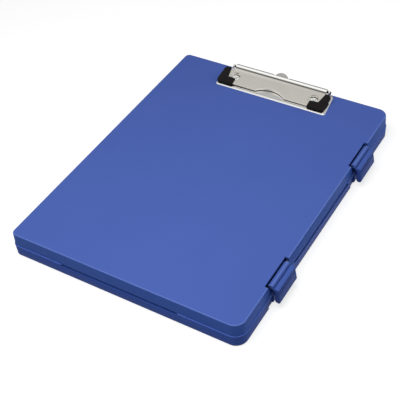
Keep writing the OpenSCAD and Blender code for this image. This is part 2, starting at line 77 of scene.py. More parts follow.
class Socket:
    """A socket of a finish, or a number, whose sums are drawn as Math nodes."""

    def __init__(self, finish, value):
        self.finish = finish
        self.value = value

    def _math(self, operation, *others):
        return self.finish.node("ShaderNodeMath", {"operation": operation},
                                {i: v for i, v in enumerate((self,) + others)})

    def __add__(self, other):
        return self._math("ADD", other)

    def __sub__(self, other):
        return self._math("SUBTRACT", other)

    def __rsub__(self, other):
        return Socket(self.finish, other) - self

    def __mul__(self, other):
        return self._math("MULTIPLY", other)

    def __truediv__(self, other):
        return self._math("DIVIDE", other)

    __radd__ = __add__
    __rmul__ = __mul__

    def clamped(self):
        """The same number, held between 0 and 1."""
        result = self._math("ADD", 0.0)
        result.value.node.use_clamp = True
        return result


class Recipe:
    """A node tree, and the one method that adds nodes to it."""

    def __init__(self, owner):
        owner.use_nodes = True
        self.tree = owner.node_tree

    def node(self, kind, settings=None, sockets=None, out=0):
        """Add a node with its settings and sockets, and give one of its outputs."""
        made = self.tree.nodes.new(kind)
        for name, value in (settings or {}).items():
            setattr(made, name, value)
        for name, value in (sockets or {}).items():
            self.feed(made.inputs[name], value)
        return Socket(self, made.outputs[out])

    def feed(self, socket, value):
        """Link another socket to a socket, or give it a plain value."""
        value = value.value if isinstance(value, Socket) else value
        if isinstance(value, bpy.types.NodeSocket):
            self.tree.links.new(value, socket)
        else:
            socket.default_value = value

    def mix(self, amount, first, second):
        """A colour that goes from the first to the second as the amount goes from 0 to 1."""
        return self.node("ShaderNodeMix", {"data_type": "RGBA"},
                         {0: amount, 6: first, 7: second}, out=2)

    def fade(self, value, start, end):
        """A number that climbs smoothly from 0 to 1 while a value goes from start to end."""
        return self.node("ShaderNodeMapRange", {"interpolation_type": "SMOOTHSTEP"},
                         {0: value, 1: start, 2: end})


class Finish(Recipe):
    """A material with one Principled shader."""

    def __init__(self, name, **surface):
        self.material = bpy.data.materials.new(name)
        super().__init__(self.material)
        self.shader = self.tree.nodes["Principled BSDF"]
        for socket, value in surface.items():
            self.shader.inputs[socket.replace("_", " ")].default_value = value
        self.place = self.node("ShaderNodeTexCoord", out="Object")

    def set(self, name, value):
        self.feed(self.shader.inputs[name], value)

    def distance(self, axis):
        """How far a place lies along X, Y or Z, in mm."""
        return self.node("ShaderNodeSeparateXYZ", None, {0: self.place}, "XYZ".index(axis)) / MM

    def stretched(self, along):
        return self.node("ShaderNodeMapping", None, {"Vector": self.place, "Scale": along})

    def noise(self, scale, detail, roughness, where=None):
        return self.node("ShaderNodeTexNoise", None,
                         {"Vector": where or self.place, "Scale": scale, "Detail": detail,
                          "Roughness": roughness})

    def bump(self, height, depth):
        return self.node("ShaderNodeBump", None,
                         {"Height": height, "Strength": 1.0, "Distance": depth})


def paint(red, green, blue):
    """A colour as it is seen, 0 to 255, as the linear colour that a shader takes."""
    linear = [v / 12.92 if v <= 0.04045 else ((v + 0.055) / 1.055) ** 2.4
              for v in (red / 255, green / 255, blue / 255)]
    return (*linear, 1.0)


# Plastic: its least roughness, how much that varies, and the least share of the painted
# highlight's colour
MATT, UNEVEN, LEAST_HIGHLIGHT = 0.4, 0.08, 0.75

# The heights, in mm, over which the sides' painted shade and the painted highlight band begin and
# end
SIDES_UNDER, SIDES_OVER = 0.1, 0.2
HIGHLIGHT_RISE, HIGHLIGHT_FALL = 0.3, 0.1


def moulded_plastic(name, colour, darker, painted_highlight, edge, sides=None, sides_top=0):
    """Matt moulded plastic with a painted highlight between two heights; its sides may be painted
    deeper as painted shade.
    """
    finish = Finish(name, Specular_IOR_Level=0.05)
    cloud = finish.noise(scale=16, detail=3, roughness=0.55)
    grain = finish.noise(scale=2400, detail=2, roughness=0.6)
    skin = finish.mix(cloud, darker, colour)
    low, high = edge
    height = finish.distance("Z")
    # Painted shade: below a height the sides take a deeper colour
    if sides:
        skin = finish.mix(finish.fade(height, sides_top - SIDES_UNDER, sides_top + SIDES_OVER),
                          sides, skin)
    # Painted highlight: a lighter band between two heights, along a rounded edge or crown
    highlight_band = (finish.fade(height, low, low + HIGHLIGHT_RISE)
           * (1 - finish.fade(height, high - HIGHLIGHT_FALL, high)))
    skin = finish.mix(highlight_band * (LEAST_HIGHLIGHT + cloud * (1 - LEAST_HIGHLIGHT)), skin, painted_highlight)
    finish.set("Base Color", skin)
    finish.set("Roughness", MATT + cloud * UNEVEN + grain * UNEVEN)
    finish.set("Normal", finish.bump(grain, depth=0.02 * MM))
    return finish.material


# Where the flap's painted shade and painted reflection begin and end, in mm. Painted shade lies in
# the crease before the roll and fades out up it, the feet of the lips have painted shade too, and
# the roll has a painted reflection, bright in front and grey behind.
ROLL_START = ROD_Y - ROLL_RADIUS
CREASE_FRONT = (ROLL_START - 1.8, ROLL_START + 0.1)
CREASE_REAR = (ROLL_START + 1, ROLL_START + 2.4)
CREASE_TOP = (FLAP_REAR_Z + 0.3, FLAP_REAR_Z + 0.9)
FOOT_TOP = (PLATE_TOP + 0.6, PLATE_TOP + 1)
ROLL_BACK = (ROD_Y - 0.7, ROD_Y + 0.3)
ROLL_CROWN = (FLAP_REAR_Z + 0.9, FLAP_REAR_Z + 1.4)
ROLL_HIGHLIGHT, ROLL_REFLECTED_GREY = paint(252, 252, 250), paint(205, 203, 199)


def shaded_flap(finish, plate, crease):
    """The plate's colour with painted shade in the flap's crease and at the lips' feet, and a
    painted reflection on its roll.
    """
    back, height = finish.distance("Y"), finish.distance("Z")
    depth = (finish.fade(back, *CREASE_FRONT) * (1 - finish.fade(back, *CREASE_REAR))
             * (1 - finish.fade(height, *CREASE_TOP)))
    foot = 1 - finish.fade(height, *FOOT_TOP)
    plate = finish.mix((depth + foot).clamped(), plate, crease)
    roll = finish.mix(finish.fade(back, *ROLL_BACK), ROLL_HIGHLIGHT, ROLL_REFLECTED_GREY)
    return finish.mix(finish.fade(height, *ROLL_CROWN), plate, roll)


def nickel_sheet(name, colour, darker, grain, smooth, crease=None):
    """Nickel plate or steel, drawn or turned one way; the flap's has painted shade in its crease
    and a painted reflection on its roll.
    """
    finish = Finish(name, Metallic=1.0)
    drawn = finish.noise(scale=900, detail=3, roughness=0.6, where=finish.stretched(grain))
    cloud = finish.noise(scale=60, detail=2, roughness=0.5)
    plate = finish.mix(drawn * 0.7 + cloud * 0.3, darker, colour)
    if crease:
        plate = shaded_flap(finish, plate, crease)
    finish.set("Base Color", plate)
    finish.set("Roughness", smooth + drawn * 0.08 + cloud * 0.05)
    finish.set("Normal", finish.bump(drawn, depth=0.004 * MM))
    return finish.material


def moulded_rubber(name):
    finish = Finish(name, Specular_IOR_Level=0.15)
    grain = finish.noise(scale=1800, detail=3, roughness=0.6)
    cloud = finish.noise(scale=120, detail=2, roughness=0.5)
    finish.set("Base Color", finish.mix(cloud, paint(14, 12, 12), paint(22, 19, 19)))
    finish.set("Roughness", 0.55 + grain * 0.2)
    finish.set("Normal", finish.bump(grain, depth=0.03 * MM))
    return finish.material


# How finely a metal's grain lies along X, Y and Z
DRAWN_ALONG_X = (1, 12, 1)
DRAWN_ALONG_Y = (12, 1, 1)
TURNED = (30, 1, 1)
NICKEL_COLOURS = {"colour": paint(238, 235, 228), "darker": paint(222, 218, 209)}

# The base: a painted highlight along its rim at the parting line, and a blue darker than the lid's
# top, as painted shade on its walls
blue = moulded_plastic(
    "blue_polypropylene", colour=paint(53, 80, 156), darker=paint(50, 76, 151),
    painted_highlight=paint(84, 112, 196), edge=(RIM_TOP - 0.7, RIM_TOP + 0.2))
# The lid: a painted highlight along its rounded top edge, and its sides painted deeper than its
# top, as painted shade
lid_blue = moulded_plastic(
    "blue_lid", colour=paint(73, 95, 167), darker=paint(69, 91, 162),
    painted_highlight=paint(98, 122, 196), edge=(LID_TOP - 0.9, LID_TOP - 0.03),
    sides=paint(54, 86, 164), sides_top=LID_TOP - 0.9)
# The latches: a painted highlight on the crown's top, and the face below the ridge painted deeper,
# as painted shade
latch_blue = moulded_plastic(
    "blue_latch", colour=paint(66, 90, 160), darker=paint(62, 86, 155),
    painted_highlight=paint(88, 110, 176), edge=(LID_TOP - 0.85, LID_TOP + 0.3),
    sides=paint(54, 76, 144), sides_top=LID_TOP - 4.9)
nickel = nickel_sheet("nickel_plate", grain=DRAWN_ALONG_X, smooth=0.12, **NICKEL_COLOURS)
# The flap's nickel: painted shade in the crease and at the lips' feet, and a painted reflection on
# the roll
flap_nickel = nickel_sheet("flap_nickel", grain=DRAWN_ALONG_X, smooth=0.12,
                           crease=paint(88, 86, 83), **NICKEL_COLOURS)
# Nickel painted darker, as painted shade on the tilted tab
shaded_tab_nickel = nickel_sheet("shaded_tab_nickel", colour=paint(184, 182, 178),
                           darker=paint(164, 162, 158), grain=DRAWN_ALONG_X, smooth=0.3)
bright_nickel = nickel_sheet("bright_nickel", colour=paint(250, 250, 249),
                             darker=paint(240, 240, 238), grain=DRAWN_ALONG_Y, smooth=0.08)
steel = nickel_sheet("pin_steel", colour=paint(190, 188, 184), darker=paint(176, 174, 170),
                     grain=TURNED, smooth=0.25)
# Steel painted near black, as painted shade: the clip's rod and the latch pins sit in shaded gaps
shadow_dark_steel = nickel_sheet("steel_painted_as_shadow", colour=paint(58, 60, 66),
                           darker=paint(44, 45, 50), grain=TURNED, smooth=0.35)
rubber = moulded_rubber("grip_rubber")


# ---------------------------------------------------------------- the maker's moves

def only(piece=None):
    """Leave one piece, or none, selected and active."""
    for thing in bpy.context.selected_objects:
        thing.select_set(False)
    if piece:
        piece.select_set(True)
        bpy.context.view_layer.objects.active = piece


def shape(piece, *moves):
    """Run choices of faces or edges, and the moves on them, on a piece in edit mode."""
    only(piece)
    bpy.ops.object.mode_set(mode="EDIT")
    for move in moves:
        move()
    bpy.ops.object.mode_set(mode="OBJECT")
    return piece


def choose_all():
    bpy.ops.mesh.select_all(action="SELECT")


def choose_edges(test, sharper_than=0):
    """Select the edges that bend more than an angle and whose middle, in mm, passes a test."""
    bpy.ops.mesh.select_mode(type="EDGE")
    bpy.ops.mesh.select_all(action="DESELECT")
    data = bpy.context.object.data
    mesh = bmesh.from_edit_mesh(data)
    for edge in mesh.edges:
        middle = (edge.verts[0].co + edge.verts[1].co) / 2 / MM
        if edge.calc_face_angle(math.pi) >= math.radians(sharper_than) and test(*middle):
            edge.select_set(True)
    bmesh.update_edit_mesh(data)


def choose_faces(test):
    """Select the faces whose middle, in mm, and normal pass a test."""
    bpy.ops.mesh.select_mode(type="FACE")
    bpy.ops.mesh.select_all(action="DESELECT")
    data = bpy.context.object.data
    mesh = bmesh.from_edit_mesh(data)
    for face in mesh.faces:
        if test(face.calc_center_median() / MM, face.normal):
            face.select_set(True)
    bmesh.update_edit_mesh(data)


def modify(piece, kind, **settings):
    """Add a modifier and apply it."""
    only(piece)
    modifier = piece.modifiers.new(kind.lower(), kind)
    for name, value in settings.items():
        setattr(modifier, name, value)
    bpy.ops.object.modifier_apply(modifier=modifier.name)
    return piece


def round_off(piece, width, segments=3, sharper_than=30):
    """Round off the edges that bend more than an angle, by a width in mm."""
    return modify(piece, "BEVEL", width=width * MM, segments=segments, limit_method="ANGLE",
                  angle_limit=math.radians(sharper_than))


def cut(piece, *cutters, how="DIFFERENCE"):
    """Cut cutters out of a piece, or with another how unite them, and use them up."""
    for cutter in cutters:
        modify(piece, "BOOLEAN", operation=how, object=cutter, solver="EXACT")
        bpy.data.objects.remove(cutter)
    return piece


def join(piece, *others):
    only(piece)
    for other in others:
        other.select_set(True)
    bpy.ops.object.join()
    return piece


def settled():
    """The piece just added, its place put into its mesh."""
    bpy.ops.object.transform_apply(location=True, rotation=True, scale=True)
    return bpy.context.object


def block(low, high):
    """A box between two corners, in mm."""
    only()
    bpy.ops.mesh.primitive_cube_add(size=1, location=[(a + b) / 2 * MM for a, b in zip(low, high)],
                                    scale=[(b - a) * MM for a, b in zip(low, high)])
    return settled()


def round_bar(place, radius, length, turn=(0, 0, 0), sides=48, tip=None):
    """A cylinder, or a cone with a tip radius, about its middle, in mm."""
    only()
    where = {"location": [v * MM for v in place], "rotation": turn}
    if tip is None:
        bpy.ops.mesh.primitive_cylinder_add(vertices=sides, radius=radius * MM,
                                            depth=length * MM, **where)
    else:
        bpy.ops.mesh.primitive_cone_add(vertices=sides, radius1=radius * MM, radius2=tip * MM,
                                        depth=length * MM, **where)
    return settled()


def arc(centre, radius, start, end, steps):
    """Points round a centre, from one angle to another, in degrees."""
    return [(centre[0] + radius * math.cos(math.radians(start + (end - start) * i / steps)),
             centre[1] + radius * math.sin(math.radians(start + (end - start) * i / steps)))
            for i in range(steps + 1)]


def strip(along, span, line):
    """A strip made by pulling an edge, which lies along X or Y, through the points of a line."""
    only()
    width = span[1] - span[0]
    middle = (span[0] + span[1]) / 2
    across, height = line[0]
    if along == "X":
        place, side = (middle, across + width / 2, height), (0, 1)
    else:
        place, side = (across + width / 2, middle, height), (1, 0)
    bpy.ops.mesh.primitive_plane_add(size=width * MM, location=[v * MM for v in place])
    piece = bpy.context.object
    only(piece)
    bpy.ops.object.transform_apply(location=True)
    bpy.ops.object.mode_set(mode="EDIT")
    far_side = across + width * 0.9
    choose_edges(lambda x, y, z: (y if along == "X" else x) > far_side)
    bpy.ops.mesh.delete(type="EDGE")
    bpy.ops.mesh.select_mode(type="VERT")
    bpy.ops.mesh.select_all(action="DESELECT")
    data = piece.data
    mesh = bmesh.from_edit_mesh(data)
    far = [v for v in mesh.verts if (v.co.y if along == "X" else v.co.x) / MM > across + width / 2]
    for v in far:
        v.select_set(True)
    bmesh.update_edit_mesh(data)
    bpy.ops.mesh.delete(type="VERT")
    bpy.ops.mesh.select_mode(type="EDGE")
    bpy.ops.mesh.select_all(action="SELECT")
    for (a0, h0), (a1, h1) in zip(line, line[1:]):
        step = (a1 - a0) * MM
        move = (0, step, (h1 - h0) * MM) if along == "X" else (step, 0, (h1 - h0) * MM)
        bpy.ops.mesh.extrude_region_move(TRANSFORM_OT_translate={"value": move})
    bpy.ops.object.mode_set(mode="OBJECT")
    return piece


# How near the points of a closed outline lie, in mm, to be welded
WELD = 0.005

# How near, in mm, and how flat, in degrees, a solid's triangles lie to be merged
MERGE_GAP, MERGE_ANGLE = 0.002, 0.3


def merged_copy(node):
    """A copy of a CAD solid, its loose triangles merged into whole faces."""
    piece = bpy.data.objects.new(node + "_piece", nodes[node].data.copy())
    bpy.context.scene.collection.objects.link(piece)
    only(piece)
    bpy.ops.object.mode_set(mode="EDIT")
    choose_all()
    bpy.ops.mesh.remove_doubles(threshold=MERGE_GAP * MM)
    bpy.ops.mesh.dissolve_limited(angle_limit=math.radians(MERGE_ANGLE))
    bpy.ops.object.mode_set(mode="OBJECT")
    bpy.ops.mesh.customdata_custom_splitnormals_clear()
    return piece


def dress(piece, name, material, body, slot, *replaced, smooth=35):
    """Give a finished piece its name, finish and body, and hide the solids it stands for. The slot
    is not used.
    """
    piece.name = name
    piece.data.materials.clear()
    piece.data.materials.append(material)
    only(piece)
    bpy.ops.object.transform_apply(location=True, rotation=True, scale=True)
    bpy.ops.object.shade_smooth_by_angle(angle=math.radians(smooth))
    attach(piece, body)
    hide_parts(*replaced)


# ---------------------------------------------------------------- the case

# How far a cutter reaches past the case's wall
PAST_WALL = 3

# The latches' notches in the lid: how far in and down their edges lie
NOTCH_IN, NOTCH_DOWN = 4.5, 7

# The base's outer walls: how near their face an edge lies, and how far below the rim
WALL_NEAR, RIM_BAND = 0.2, 4


def soften(piece, soft_edges, width):
    """Round the folded edges that pass a test."""
    return shape(piece,
                 lambda: choose_edges(soft_edges, FOLDED),
                 lambda: bpy.ops.mesh.bevel(offset=width * MM, segments=2, profile=0.5,
                                            clamp_overlap=True))


def lid_edges(x, y, z):
    """The lid's edges at the latches' notches."""
    return x > HALF_WIDTH - NOTCH_IN and z > LID_TOP - NOTCH_DOWN


def base_edges(x, y, z):
    """The edges high on the base's outer walls."""
    return ((abs(x) > HALF_WIDTH - WALL_NEAR or abs(y) > HALF_LENGTH - WALL_NEAR)
            and z > RIM_TOP - RIM_BAND)


def recesses(depth, before, behind, low, high):
    """Blocks that hollow the wall at each latch, before and behind the latch's front end."""
    for middle in LATCH_MIDDLES.values():
        end = middle - LATCH_LENGTH / 2
        yield block((HALF_WIDTH - depth, end - before, low),
                    (HALF_WIDTH + PAST_WALL, end + behind, high))


lid = cut(merged_copy("lid_shell"),
          *recesses(depth=1.5, before=1.3, behind=LATCH_LENGTH + 0.4,
                    low=RIM_TOP - 1, high=LID_TOP - 6.2))
dress(soften(lid, lid_edges, width=0.3), "lid_moulding", lid_blue, "lid", "case_plastic",
      "lid_shell")
base = cut(merged_copy("base_tray"),
           *recesses(depth=1.4, before=5, behind=4.2, low=-1, high=RIM_TOP - 0.6))
dress(soften(base, base_edges, width=0.25), "base_moulding", blue, "base", "case_plastic",
      "base_tray")


# ---------------------------------------------------------------- the latches

# The latch's section as (x, z): the barrel round its pin, the crown, the groove, step and ridge
# above the pull's face, the rounded foot, and the arm behind it
BARREL_RADIUS = 1.25
CROWN, CROWN_RADIUS = (120.45, 23.95), 2.55
RIDGE = [(122.6, 23.0), (123.2, 23.0), (123.6, 23.85), (124.3, 23.85), (125.4, 23.5),
         (126.5, 23.1), (127.1, 22.7), (127.35, 22.2)]
FACE_TOP = (127.5, 21.5)
FOOT, FOOT_RADIUS = (126.4, 9.5), 2.6
ARM = [(124.2, 18.7), (123.5, 20.4), (121.5, 22.7)]

# The pin's bore, and how far round the pin the edges are the bore's own
PIN_BORE_RADIUS, BORE_ZONE = 0.75, 1

# The grooves across the face, which leans out by 1 mm in this many
FACE_LEAN = 8
GROOVE_HEIGHTS = (20.6, 18.3)
GROOVE_DEPTH, GROOVE_HALF = 0.6, 0.45

# The tooth behind the face, and what its rounded inner edge lies under
TOOTH_HALF = 10
TOOTH_X, TOOTH_Z = (121.3, 125), (7.6, 8.7)
TOOTH_EDGE_X, TOOTH_EDGE_Z = 122, 8

LATCH_ROUNDING, TOOTH_ROUNDING = 0.45, 0.5
ON_END = 0.01


def latch_outline():
    """A latch's section across the case, as (x, z) points."""
    return (arc((LATCH_PIN_X, LATCH_PIN_Z), BARREL_RADIUS, 270, 150, 6)
            + arc(CROWN, CROWN_RADIUS, 142, 38, 12)
            + RIDGE + [FACE_TOP]
            + arc(FOOT, FOOT_RADIUS, 0, -180, 14)
            + ARM)


def latch_bar(middle):
    """A latch: its section pulled along Y, closed, bored, rounded and grooved, with its tooth."""
    low, high = middle - LATCH_LENGTH / 2, middle + LATCH_LENGTH / 2
    outline = latch_outline()
    bar = strip("Y", (low, high), outline + outline[:1])
    shape(bar, choose_all, lambda: bpy.ops.mesh.remove_doubles(threshold=WELD * MM))
    for end in (low, high):
        shape(bar, lambda: choose_edges(lambda x, y, z: abs(y - end) < ON_END),
              lambda: bpy.ops.mesh.edge_face_add())
    shape(bar, choose_all, lambda: bpy.ops.mesh.normals_make_consistent(inside=False))
    cut(bar, round_bar((LATCH_PIN_X, middle, LATCH_PIN_Z), PIN_BORE_RADIUS, LATCH_LENGTH + 4,
                       ALONG_Y, sides=24))

    def end_edges(x, y, z):
        at_end = abs(y - low) < ON_END or abs(y - high) < ON_END
        return at_end and math.dist((x, z), (LATCH_PIN_X, LATCH_PIN_Z)) > BORE_ZONE

    shape(bar, lambda: choose_edges(end_edges, SQUARE),
          lambda: bpy.ops.mesh.bevel(offset=LATCH_ROUNDING * MM, segments=3, profile=0.5,
                                     clamp_overlap=True))
    for height in GROOVE_HEIGHTS:
        face_x = FACE_TOP[0] + (FACE_TOP[1] - height) / FACE_LEAN
        cut(bar, block((face_x - GROOVE_DEPTH, low - 1, height - GROOVE_HALF),
                       (face_x + 2, high + 1, height + GROOVE_HALF)))
    tooth = block((TOOTH_X[0], middle - TOOTH_HALF, TOOTH_Z[0]),
                  (TOOTH_X[1], middle + TOOTH_HALF, TOOTH_Z[1]))
    shape(tooth,
          lambda: choose_edges(lambda x, y, z: x < TOOTH_EDGE_X and z < TOOTH_EDGE_Z, SQUARE),
          lambda: bpy.ops.mesh.bevel(offset=TOOTH_ROUNDING * MM, segments=2))
    return join(bar, tooth)


for place, middle in LATCH_MIDDLES.items():
    dress(latch_bar(middle), f"latch_{place}_pull", latch_blue, f"{place}_latch", "case_plastic",
          f"latch_{place}", smooth=40)


# ---------------------------------------------------------------- the clip

# The ears that carry the rod, and the base plate with its corners and sloping rim
EAR_THICKNESS, EAR_RADIUS, EAR_ROOT = 1.2, 2.2, 0.5
PLATE_FRONT_Y, PLATE_REAR_Y = 120, 153.5
PLATE_HALF_FRONT, PLATE_HALF_REAR = 64, 59.4
PLATE_EDGE, PLATE_RIM = 0.12, 2.7
PLATE_CORNER_FRONT, PLATE_CORNER_REAR = 3, 5

# How squarely a face looks along an axis to be chosen
FACING = 0.9

# How near an upright edge of the plate lies to its front and rear corners, to be chosen
AT_FRONT, AT_REAR_X, AT_REAR_Y = 1, 0.4, 0.5

# The rounding of thin sheet edges
SHEET_ROUNDING = 0.15


def clip_ear(side):
    """The upright ear that carries the rod, at one end of the plate."""
    out, inner = side * EAR_OUT, side * (EAR_OUT - EAR_THICKNESS)
    ear = block((min(out, inner), ROD_Y - EAR_RADIUS, PLATE_TOP - EAR_ROOT),
                (max(out, inner), ROD_Y + EAR_RADIUS, ROD_Z))
    eye = round_bar(((out + inner) / 2, ROD_Y, ROD_Z), EAR_RADIUS, EAR_THICKNESS, ALONG_X,
                    sides=40)
    cut(ear, eye, how="UNION")
    return round_off(ear, SHEET_ROUNDING, segments=2)


def base_plate():
    """The clip's base plate: a flat sheet whose rim slopes down to the lid all round."""
    rise = PLATE_TOP - LID_TOP - PLATE_EDGE
    plate = block((-PLATE_HALF_FRONT, PLATE_FRONT_Y, LID_TOP),
                  (PLATE_HALF_FRONT, PLATE_REAR_Y, LID_TOP + PLATE_EDGE))
    shape(plate,
          lambda: choose_faces(lambda place, normal: normal.y > FACING),
          lambda: bpy.ops.transform.resize(value=(PLATE_HALF_REAR / PLATE_HALF_FRONT, 1, 1)),
          lambda: choose_edges(lambda x, y, z: y < PLATE_FRONT_Y + AT_FRONT
                               and abs(x) > PLATE_HALF_FRONT - AT_FRONT),
          lambda: bpy.ops.mesh.bevel(offset=PLATE_CORNER_FRONT * MM, segments=6, profile=0.5),
          lambda: choose_edges(lambda x, y, z: y > PLATE_REAR_Y - AT_REAR_Y
                               and abs(x) > PLATE_HALF_REAR - AT_REAR_X),
          lambda: bpy.ops.mesh.bevel(offset=PLATE_CORNER_REAR * MM, segments=8, profile=0.5),
          lambda: choose_faces(lambda place, normal: normal.z > FACING),
          lambda: bpy.ops.mesh.inset(thickness=PLATE_RIM * MM),
          lambda: bpy.ops.transform.translate(value=(0, 0, rise * MM)))
    return join(plate, clip_ear(-1), clip_ear(1))


# The flap's sheet, its windows over the rivets and the tab, and its rounded corners and edge
SHEET = 0.8
RIVET_WINDOW_RADIUS = 5.6
TAB_WINDOW_HALF, TAB_WINDOW_BEFORE = 9.2, 0.1
FLAP_CORNER, FLAP_EDGE = 3, 0.45
CREASE_STEP = (0.5, 0.16)

# How near to the shoulder, a side, the cut-out or the front an edge of the flap lies, to be chosen
ON_SHOULDER, ON_SIDE, ON_CUTOUT, ON_FRONT = 0.2, 0.1, 0.1, 0.05

# How far the cutters reach past the clip
CLEAR_X, CLEAR_Y = 70, 156
CLEAR_LOW, CLEAR_TAB_LOW, CLEAR_HIGH = 20, 28, 40
CUTTER_Z, CUTTER_LENGTH = 30, 20

# The pressed rims and the turned lips
RIM_RADIUS_LOW, RIM_RADIUS_HIGH = 4.95, 5.75
RIM_HEIGHT, RIM_SHEET, RIM_DOWN = 1.9, 0.4, 1
LIP_SHEET, LIP_GAP, LIP_UNDER = 0.6, 0.3, 0.05
LIP_START, LIP_END = 17, 44


def flap_top(y):
    """The height of the flap's upper face, before its roll."""
    return FLAP_REAR_Z - (FLAP_REAR_Y - y) * math.tan(FLAP_SLOPE)


def flap():
    """The sprung flap: a sloping sheet whose rear edge is rolled over the rod."""
    left, right = FLAP_MIDDLE - FLAP_HALF_WIDTH, FLAP_MIDDLE + FLAP_HALF_WIDTH
    line = ([(FLAP_FRONT_Y, flap_top(FLAP_FRONT_Y)), (FLAP_REAR_Y, FLAP_REAR_Z),
             (FLAP_REAR_Y + CREASE_STEP[0], FLAP_REAR_Z + CREASE_STEP[1])]
            + arc((ROD_Y, ROD_Z), ROLL_RADIUS, 153, -30, 22))
    sheet = strip("X", (left, right), line)
    if sheet.data.polygons[0].normal.z < 0:
        shape(sheet, choose_all, lambda: bpy.ops.mesh.flip_normals())
    modify(sheet, "SOLIDIFY", thickness=SHEET * MM, offset=-1, use_even_offset=True)
    for side in (-1, 1):
        end, far = side * ROLL_HALF_WIDTH, side * CLEAR_X
        cut(sheet, block((min(end, far), SHOULDER_Y, CLEAR_LOW),
                         (max(end, far), CLEAR_Y, CLEAR_HIGH)))
        cut(sheet, round_bar((FLAP_MIDDLE + side * STAR_OUT, STAR_Y, CUTTER_Z),
                             RIVET_WINDOW_RADIUS, CUTTER_LENGTH))
    shape(sheet,
          lambda: choose_edges(lambda x, y, z: abs(y - SHOULDER_Y) < ON_SHOULDER
                               and abs(abs(x - FLAP_MIDDLE) - FLAP_HALF_WIDTH) < ON_SIDE,
                               SQUARE),
          lambda: bpy.ops.mesh.bevel(offset=FLAP_CORNER * MM, segments=6, profile=0.5))
    cut(sheet, round_bar((*CUTOUT, CUTTER_Z), CUTOUT_RADIUS, CUTTER_LENGTH, sides=96),
        block((-TAB_WINDOW_HALF, ROD_Y - TAB_WINDOW_BEFORE, CLEAR_TAB_LOW),
              (TAB_WINDOW_HALF, CLEAR_Y, CLEAR_HIGH)))
    shape(sheet,
          lambda: choose_edges(lambda x, y, z: abs(z - flap_top(y)) < ON_FRONT and (
              abs(y - FLAP_FRONT_Y) < ON_FRONT
              or abs(math.dist((x, y), CUTOUT) - CUTOUT_RADIUS) < ON_CUTOUT), FOLDED),
          lambda: bpy.ops.mesh.bevel(offset=FLAP_EDGE * MM, segments=3, profile=0.5,
                                     clamp_overlap=True))
    return join(sheet, *flap_lips(), *(pressed_rim(side) for side in (-1, 1)))


def pressed_rim(side):
    """The rim that is pressed down round the flap's hole over a rivet."""
    rim = round_bar((FLAP_MIDDLE + side * STAR_OUT, STAR_Y, flap_top(STAR_Y) - RIM_DOWN),
                    RIM_RADIUS_LOW, RIM_HEIGHT, (FLAP_SLOPE, 0, 0), tip=RIM_RADIUS_HIGH)
    shape(rim,
          lambda: choose_faces(lambda place, normal: abs(normal.z) > FACING),
          lambda: bpy.ops.mesh.delete(type="FACE"))
    return modify(rim, "SOLIDIFY", thickness=RIM_SHEET * MM, offset=1)


def flap_lips():
    """The lip turned down along the flap's front edge and round its finger cut-out."""
    low, top = PLATE_TOP + LIP_GAP, flap_top(FLAP_FRONT_Y) - LIP_UNDER
    wall = round_bar((*CUTOUT, CUTTER_Z), CUTOUT_RADIUS, length=8, sides=192)
    point, slope = (0, FLAP_FRONT_Y * MM, top * MM), (0, -math.tan(FLAP_SLOPE), 1)
    shape(wall,
          lambda: choose_faces(lambda place, normal: abs(normal.z) > FACING),
          lambda: bpy.ops.mesh.delete(type="FACE"),
          choose_all,
          lambda: bpy.ops.mesh.bisect(plane_co=(0, FLAP_FRONT_Y * MM, 0), plane_no=(0, 1, 0),
                                      clear_inner=True),
          choose_all,
          lambda: bpy.ops.mesh.bisect(plane_co=point, plane_no=slope, clear_outer=True),
          choose_all,
          lambda: bpy.ops.mesh.bisect(plane_co=(0, 0, low * MM), plane_no=(0, 0, 1),
                                      clear_inner=True))
    modify(wall, "SOLIDIFY", thickness=LIP_SHEET * MM, offset=1)
    lips = [wall]
    for side in (-1, 1):
        ends = (CUTOUT[0] + side * LIP_START, CUTOUT[0] + side * LIP_END)
        lip = block((min(ends), FLAP_FRONT_Y, low), (max(ends), FLAP_FRONT_Y + LIP_SHEET, top))
        lips.append(round_off(lip, SHEET_ROUNDING, segments=2))
    return lips


# The rivet's rolled ring and the slots between its petals, its flange, shank and foot
RING_Z, RING_RADIUS, RING_TUBE = PLATE_TOP + 1.1, 3, 1.35
SLOT_START, SLOT_END, SLOT_HALF = 0.4, 6, 0.55
SLOT_LOW, SLOT_HIGH = PLATE_TOP + 0.9, PLATE_TOP + 4
SLOT_TURN = 45
FLANGE_Z, FLANGE_RADIUS, FLANGE_HEIGHT = PLATE_TOP + 0.7, 4.9, 1.4
SHANK_Z, SHANK_RADIUS, SHANK_LENGTH = 26, 1.8, 4
RIVET_FOOT_Z, RIVET_FOOT_RADIUS, RIVET_FOOT_HEIGHT = 23.6, 3.4, 0.8


